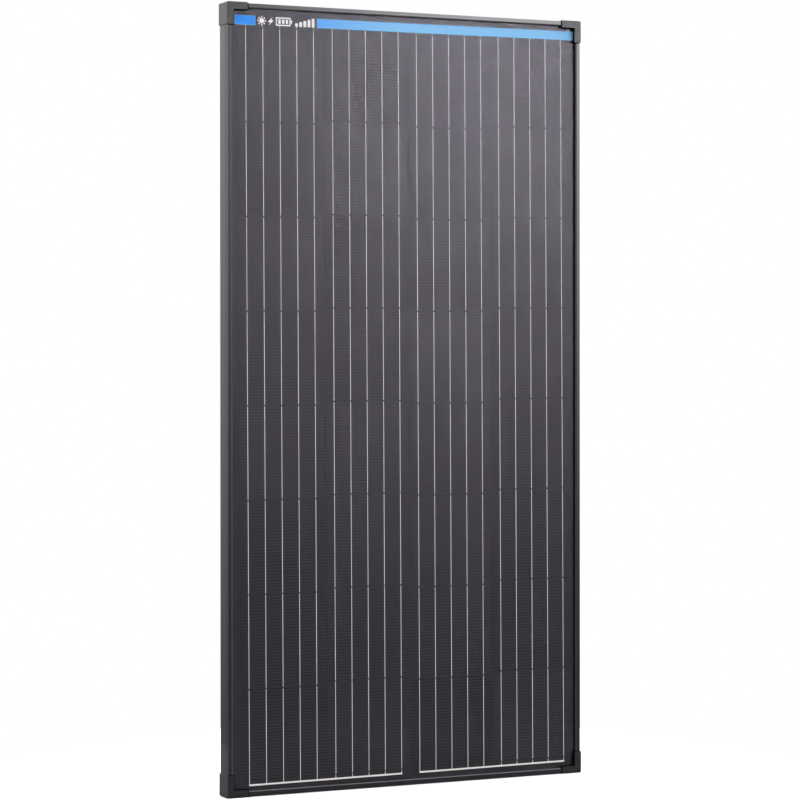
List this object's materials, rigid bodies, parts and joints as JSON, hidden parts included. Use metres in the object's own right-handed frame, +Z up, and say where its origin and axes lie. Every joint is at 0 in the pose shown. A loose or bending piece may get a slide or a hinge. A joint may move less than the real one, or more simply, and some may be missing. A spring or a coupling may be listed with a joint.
{
  "type": "framed solar panel",
  "caption": "Framed monocrystalline solar panel with black rails, plastic corners, glazed cell laminate, and a hinged rear junction box with cable glands.",
  "frame": {"origin": "centre of the overall box at its bottom: under the module's middle, at the level of the lower corner pieces' underside, half way through the depth", "axes": "+Z up the module's height, +X across its width, +Y from the glass front to the back, so the glass faces -Y"},
  "size_m": [0.6784, 0.0372, 1.3399],
  "materials": {
    "frame_anodised": "black anodised, satin",
    "black_plastic": "moulded, fine matte grain",
    "key_aluminium": "raw extruded",
    "seal": "black silicone, satin",
    "glass": "tempered low-iron solar glass, lightly matte front",
    "encapsulant": "clear laminated film",
    "silicon": "textured monocrystalline, dark blue-black",
    "tinned_ribbon": "tinned copper ribbon",
    "blue_film": "printed bright blue film",
    "backsheet": "white laminate film, matte",
    "steel": "stainless, brushed",
    "terminal_brass": "nickel-flashed brass",
    "diode_epoxy": "black epoxy",
    "label": "blank silver-grey polyester label"
  },
  "bodies": {
    "module": {"rail_bottom": "frame_anodised", "rail_left": "frame_anodised", "rail_top": "frame_anodised", "rail_right": "frame_anodised", "glazing_seal_bottom": "seal", "glazing_seal_left": "seal", "glazing_seal_top": "seal", "glazing_seal_right": "seal", "corner_cap_bottom_left": "black_plastic", "corner_cap_top_left": "black_plastic", "corner_cap_top_right": "black_plastic", "corner_cap_bottom_right": "black_plastic", "corner_key_bottom_left": "key_aluminium", "corner_key_top_left": "key_aluminium", "corner_key_top_right": "key_aluminium", "corner_key_bottom_right": "key_aluminium", "front_glass": "glass", "front_encapsulant": "encapsulant", "rear_encapsulant": "encapsulant", "backsheet": "backsheet", "cell_string_1": "silicon", "cell_string_2": "silicon", "cell_string_3": "silicon", "cell_string_4": "silicon", "bus_ribbon_bottom_left": "tinned_ribbon", "bus_ribbon_bottom_right": "tinned_ribbon", "bus_ribbon_top_left": "tinned_ribbon", "bus_ribbon_top_middle": "tinned_ribbon", "bus_ribbon_top_right": "tinned_ribbon", "lead_left": "tinned_ribbon", "lead_middle": "tinned_ribbon", "lead_right": "tinned_ribbon", "header_film": "blue_film", "junction_box_pad": "seal", "gland_seal_left": "seal", "gland_seal_right": "seal", "junction_box_base": "black_plastic", "gland_body_left": "black_plastic", "gland_body_right": "black_plastic", "lid_hinge_pin": "steel", "terminal_screw_left": "steel", "terminal_screw_middle": "steel", "terminal_screw_right": "steel", "terminal_left": "terminal_brass", "terminal_middle": "terminal_brass", "terminal_right": "terminal_brass", "bypass_diode_left": "diode_epoxy", "bypass_diode_right": "diode_epoxy", "rating_label": "label"},
    "lid": {"junction_box_lid": "black_plastic", "lid_gasket": "seal"},
    "slip_ring_left": {"gland_slip_ring_left": "black_plastic"},
    "nut_left": {"gland_nut_left": "black_plastic"},
    "slip_ring_right": {"gland_slip_ring_right": "black_plastic"},
    "nut_right": {"gland_nut_right": "black_plastic"}
  },
  "joints": [
    {"name": "lid_hinge", "type": "hinge", "parent": "module", "child": "lid", "pos_m": [0, 0.0101, 1.29395], "axis": [1, 0, 0], "range_deg": [0, 100]},
    {"name": "slip_ring_left_slide", "type": "slide", "parent": "module", "child": "slip_ring_left", "axis": [0, 0, -1], "range_m": [0, 0.0061]},
    {"name": "nut_left_turn", "type": "hinge", "parent": "slip_ring_left", "child": "nut_left", "pos_m": [-0.028, 0.0005, 1.18995], "axis": [0, 0, -1], "range_deg": [0, 1440]},
    {"name": "slip_ring_right_slide", "type": "slide", "parent": "module", "child": "slip_ring_right", "axis": [0, 0, -1], "range_m": [0, 0.0061]},
    {"name": "nut_right_turn", "type": "hinge", "parent": "slip_ring_right", "child": "nut_right", "pos_m": [0.028, 0.0005, 1.18995], "axis": [0, 0, -1], "range_deg": [0, 1440]}
  ],
  "couplings": [
    {"joint": "slip_ring_left_slide", "follows": "nut_left_turn", "m_per_rad": 0.00023873},
    {"joint": "slip_ring_right_slide", "follows": "nut_right_turn", "m_per_rad": 0.00023873}
  ]
}
